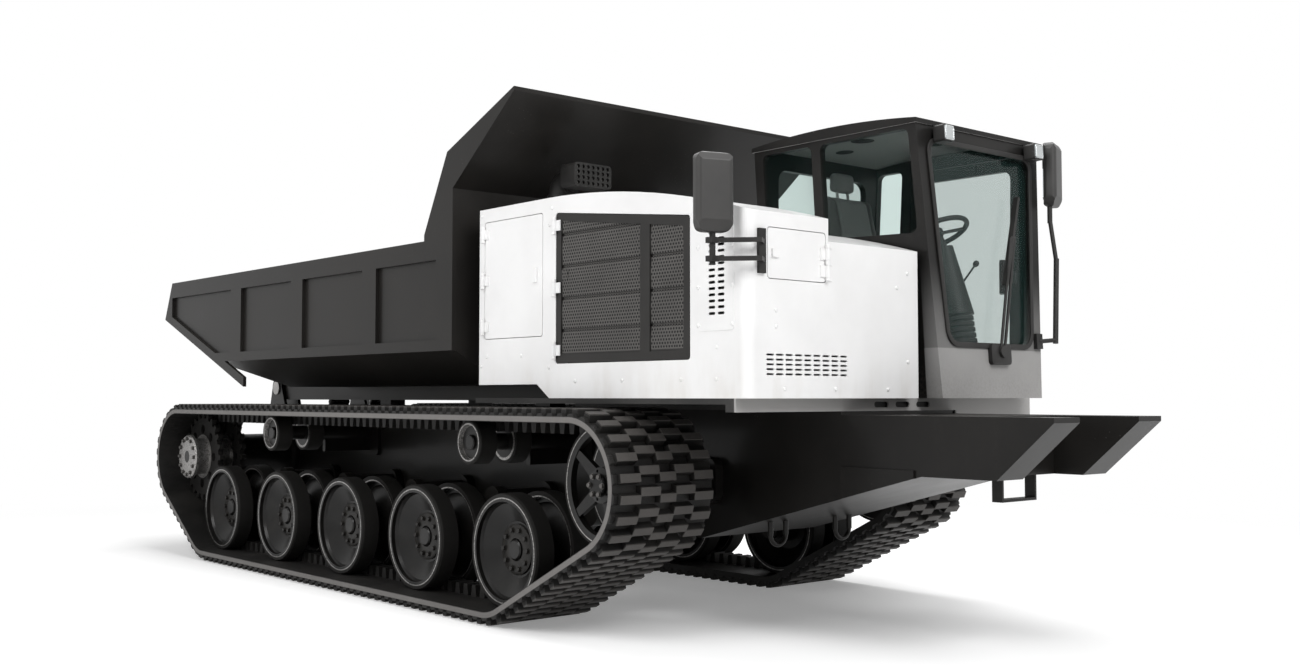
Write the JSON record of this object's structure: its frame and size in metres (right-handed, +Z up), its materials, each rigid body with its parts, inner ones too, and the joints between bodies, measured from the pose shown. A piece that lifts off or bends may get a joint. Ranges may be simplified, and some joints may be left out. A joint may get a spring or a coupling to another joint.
{
  "type": "crawler carrier",
  "caption": "Ride-on crawler carrier with rubber band tracks, an enclosed cab beside an engine hood, and a tipping bed behind, raised by a pair of hoist cylinders.",
  "frame": {"origin": "on the ground, below the middle of the outline", "axes": "+X forward, +Y to the left, +Z up"},
  "size_m": [8.348, 3, 3.136],
  "materials": {
    "rubber": "moulded black rubber, dusty",
    "wheel_black": "satin black wheels with bonded rubber treads",
    "charcoal_paint": "satin charcoal paint",
    "white_paint": "gloss white paint",
    "cab_grey": "satin mid grey paint",
    "deck_grey": "satin light grey paint",
    "pane": "tinted safety glass",
    "seat_cloth": "woven dark grey cloth",
    "black_plastic": "textured black plastic",
    "engine_iron": "cast and painted",
    "cooler_metal": "finned aluminium, painted dark",
    "pin_steel": "turned steel",
    "rod_chrome": "polished chrome"
  },
  "bodies": {
    "chassis": {"track_band_right": "rubber", "track_band_left": "rubber", "final_drives": "charcoal_paint", "suspension_arms": "charcoal_paint", "idler_yokes": "charcoal_paint", "roller_brackets": "charcoal_paint", "hull_tub": "charcoal_paint", "front_prongs": "charcoal_paint", "stirrup_step": "charcoal_paint", "tow_rings": "charcoal_paint", "deck": "deck_grey", "engine_hood": "white_paint", "side_vent_panel": "white_paint", "air_intake": "black_plastic", "engine": "engine_iron", "radiator": "cooler_metal", "tank": "black_plastic", "cab_frame": "cab_grey", "cab_roof": "black_plastic", "cab_panes": "pane", "seat_base": "charcoal_paint", "console": "black_plastic", "mirror_arms": "charcoal_paint", "work_lights": "black_plastic", "pivot_pins": "pin_steel"},
    "sprocket_right": {"sprocket_right": "wheel_black"},
    "road_wheel_right_1": {"road_wheel_right_1": "wheel_black"},
    "road_wheel_right_2": {"road_wheel_right_2": "wheel_black"},
    "road_wheel_right_3": {"road_wheel_right_3": "wheel_black"},
    "road_wheel_right_4": {"road_wheel_right_4": "wheel_black"},
    "road_wheel_right_5": {"road_wheel_right_5": "wheel_black"},
    "idler_right": {"idler_right": "wheel_black"},
    "rear_roller_right": {"rear_roller_right": "wheel_black"},
    "front_roller_right": {"front_roller_right": "wheel_black"},
    "sprocket_left": {"sprocket_left": "wheel_black"},
    "road_wheel_left_1": {"road_wheel_left_1": "wheel_black"},
    "road_wheel_left_2": {"road_wheel_left_2": "wheel_black"},
    "road_wheel_left_3": {"road_wheel_left_3": "wheel_black"},
    "road_wheel_left_4": {"road_wheel_left_4": "wheel_black"},
    "road_wheel_left_5": {"road_wheel_left_5": "wheel_black"},
    "idler_left": {"idler_left": "wheel_black"},
    "rear_roller_left": {"rear_roller_left": "wheel_black"},
    "front_roller_left": {"front_roller_left": "wheel_black"},
    "bed": {"dump_bed": "charcoal_paint"},
    "hoist_barrels": {"hoist_barrels": "charcoal_paint"},
    "hoist_rods": {"hoist_rods": "rod_chrome"},
    "rear_service_door": {"rear_service_door": "white_paint"},
    "grille_door": {"grille_door": "charcoal_paint"},
    "front_service_door": {"front_service_door": "white_paint"},
    "cab_door": {"cab_door": "charcoal_paint", "door_pane": "pane"},
    "steering_wheel": {"steering_wheel": "black_plastic"},
    "control_lever": {"control_lever": "black_plastic"},
    "wiper": {"wiper": "charcoal_paint"},
    "mirror_right": {"mirror_right": "black_plastic"},
    "mirror_left": {"mirror_left": "black_plastic"},
    "seat": {"seat": "seat_cloth"},
    "cooling_fan": {"cooling_fan": "black_plastic"}
  },
  "joints": [
    {"name": "sprocket_right_spin", "type": "hinge", "parent": "chassis", "child": "sprocket_right", "pos_m": [-3.511, -1.15, 0.8086], "axis": [0, 1, 0], "continuous": true},
    {"name": "road_wheel_right_1_spin", "type": "hinge", "parent": "chassis", "child": "road_wheel_right_1", "pos_m": [-2.929, -1.15, 0.4154], "axis": [0, 1, 0], "continuous": true},
    {"name": "road_wheel_right_2_spin", "type": "hinge", "parent": "chassis", "child": "road_wheel_right_2", "pos_m": [-1.929, -1.15, 0.4154], "axis": [0, 1, 0], "continuous": true},
    {"name": "road_wheel_right_3_spin", "type": "hinge", "parent": "chassis", "child": "road_wheel_right_3", "pos_m": [-0.929, -1.15, 0.4154], "axis": [0, 1, 0], "continuous": true},
    {"name": "road_wheel_right_4_spin", "type": "hinge", "parent": "chassis", "child": "road_wheel_right_4", "pos_m": [0.071, -1.15, 0.4154], "axis": [0, 1, 0], "continuous": true},
    {"name": "road_wheel_right_5_spin", "type": "hinge", "parent": "chassis", "child": "road_wheel_right_5", "pos_m": [1.071, -1.15, 0.4154], "axis": [0, 1, 0], "continuous": true},
    {"name": "idler_right_spin", "type": "hinge", "parent": "chassis", "child": "idler_right", "pos_m": [1.892, -1.15, 0.8336], "axis": [0, 1, 0], "continuous": true},
    {"name": "rear_roller_right_spin", "type": "hinge", "parent": "chassis", "child": "rear_roller_right", "pos_m": [-2.041, -1.15, 1.0366], "axis": [0, 1, 0], "continuous": true},
    {"name": "front_roller_right_spin", "type": "hinge", "parent": "chassis", "child": "front_roller_right", "pos_m": [0.693, -1.15, 1.0366], "axis": [0, 1, 0], "continuous": true},
    {"name": "sprocket_left_spin", "type": "hinge", "parent": "chassis", "child": "sprocket_left", "pos_m": [-3.511, 1.15, 0.8086], "axis": [0, 1, 0], "continuous": true},
    {"name": "road_wheel_left_1_spin", "type": "hinge", "parent": "chassis", "child": "road_wheel_left_1", "pos_m": [-2.929, 1.15, 0.4154], "axis": [0, 1, 0], "continuous": true},
    {"name": "road_wheel_left_2_spin", "type": "hinge", "parent": "chassis", "child": "road_wheel_left_2", "pos_m": [-1.929, 1.15, 0.4154], "axis": [0, 1, 0], "continuous": true},
    {"name": "road_wheel_left_3_spin", "type": "hinge", "parent": "chassis", "child": "road_wheel_left_3", "pos_m": [-0.929, 1.15, 0.4154], "axis": [0, 1, 0], "continuous": true},
    {"name": "road_wheel_left_4_spin", "type": "hinge", "parent": "chassis", "child": "road_wheel_left_4", "pos_m": [0.071, 1.15, 0.4154], "axis": [0, 1, 0], "continuous": true},
    {"name": "road_wheel_left_5_spin", "type": "hinge", "parent": "chassis", "child": "road_wheel_left_5", "pos_m": [1.071, 1.15, 0.4154], "axis": [0, 1, 0], "continuous": true},
    {"name": "idler_left_spin", "type": "hinge", "parent": "chassis", "child": "idler_left", "pos_m": [1.892, 1.15, 0.8336], "axis": [0, 1, 0], "continuous": true},
    {"name": "rear_roller_left_spin", "type": "hinge", "parent": "chassis", "child": "rear_roller_left", "pos_m": [-2.041, 1.15, 1.0366], "axis": [0, 1, 0], "continuous": true},
    {"name": "front_roller_left_spin", "type": "hinge", "parent": "chassis", "child": "front_roller_left", "pos_m": [0.693, 1.15, 1.0366], "axis": [0, 1, 0], "continuous": true},
    {"name": "bed_tip", "type": "hinge", "parent": "chassis", "child": "bed", "pos_m": [-3.765, 0, 1.392], "axis": [0, -1, 0], "range_deg": [0, 55]},
    {"name": "hoist_swing", "type": "hinge", "parent": "chassis", "child": "hoist_barrels", "pos_m": [-3.44721, 0, 0.7683], "axis": [0, -1, 0], "range_deg": [0, 28]},
    {"name": "hoist_extend", "type": "slide", "parent": "hoist_barrels", "child": "hoist_rods", "axis": [0.5446, 0, 0.8387], "range_m": [0, 0.5032]},
    {"name": "rear_service_door_swing", "type": "hinge", "parent": "chassis", "child": "rear_service_door", "pos_m": [0.732, -1.269, 1.9], "axis": [0, 0, -1], "range_deg": [0, 110]},
    {"name": "grille_door_swing", "type": "hinge", "parent": "chassis", "child": "grille_door", "pos_m": [1.457, -1.269, 1.9], "axis": [0, 0, -1], "range_deg": [0, 105]},
    {"name": "front_service_door_swing", "type": "hinge", "parent": "chassis", "child": "front_service_door", "pos_m": [3.013, -0.69, 2], "axis": [0, 0, 1], "range_deg": [0, 100]},
    {"name": "cab_door_swing", "type": "hinge", "parent": "chassis", "child": "cab_door", "pos_m": [2.09, 1.15664, 1.634], "axis": [0, 0.0716, 0.9974], "range_deg": [0, 80]},
    {"name": "steering_turn", "type": "hinge", "parent": "chassis", "child": "steering_wheel", "pos_m": [2.69, 0.64, 2.28], "axis": [-0.4226, 0, 0.9063], "range_deg": [-450, 450]},
    {"name": "lever_tilt", "type": "hinge", "parent": "chassis", "child": "control_lever", "pos_m": [2.44, 0.33, 1.9014], "axis": [0, 1, 0], "range_deg": [-18, 18], "stiffness_Nm_per_rad": 8},
    {"name": "wiper_sweep", "type": "hinge", "parent": "chassis", "child": "wiper", "pos_m": [3.07082, 0.7, 1.57], "axis": [0.9984, 0, 0.0572], "range_deg": [0, 42]},
    {"name": "mirror_right_turn", "type": "hinge", "parent": "chassis", "child": "mirror_right", "pos_m": [2.89, -1.385, 2.3], "axis": [0, 0, 1], "range_deg": [-30, 30]},
    {"name": "mirror_left_turn", "type": "hinge", "parent": "chassis", "child": "mirror_left", "pos_m": [3.055, 1.279, 2.65], "axis": [0, 0, 1], "range_deg": [-30, 30]},
    {"name": "seat_slide", "type": "slide", "parent": "chassis", "child": "seat", "axis": [1, 0, 0], "range_m": [-0.075, 0.075]},
    {"name": "fan_spin", "type": "hinge", "parent": "chassis", "child": "cooling_fan", "pos_m": [2.02, -1.01, 1.89], "axis": [0, 1, 0], "continuous": true}
  ],
  "couplings": [
    {"joint": "road_wheel_right_1_spin", "follows": "sprocket_right_spin", "ratio": 1.0836},
    {"joint": "road_wheel_right_2_spin", "follows": "sprocket_right_spin", "ratio": 1.0836},
    {"joint": "road_wheel_right_3_spin", "follows": "sprocket_right_spin", "ratio": 1.0836},
    {"joint": "road_wheel_right_4_spin", "follows": "sprocket_right_spin", "ratio": 1.0836},
    {"joint": "road_wheel_right_5_spin", "follows": "sprocket_right_spin", "ratio": 1.0836},
    {"joint": "idler_right_spin", "follows": "sprocket_right_spin", "ratio": 1.074},
    {"joint": "rear_roller_right_spin", "follows": "sprocket_right_spin", "ratio": 2.6889},
    {"joint": "front_roller_right_spin", "follows": "sprocket_right_spin", "ratio": 2.6889},
    {"joint": "road_wheel_left_1_spin", "follows": "sprocket_left_spin", "ratio": 1.0836},
    {"joint": "road_wheel_left_2_spin", "follows": "sprocket_left_spin", "ratio": 1.0836},
    {"joint": "road_wheel_left_3_spin", "follows": "sprocket_left_spin", "ratio": 1.0836},
    {"joint": "road_wheel_left_4_spin", "follows": "sprocket_left_spin", "ratio": 1.0836},
    {"joint": "road_wheel_left_5_spin", "follows": "sprocket_left_spin", "ratio": 1.0836},
    {"joint": "idler_left_spin", "follows": "sprocket_left_spin", "ratio": 1.074},
    {"joint": "rear_roller_left_spin", "follows": "sprocket_left_spin", "ratio": 2.6889},
    {"joint": "front_roller_left_spin", "follows": "sprocket_left_spin", "ratio": 2.6889},
    {"joint": "hoist_swing", "follows": "bed_tip", "ratio": 0.5},
    {"joint": "hoist_extend", "follows": "bed_tip", "m_per_rad": 0.52}
  ]
}
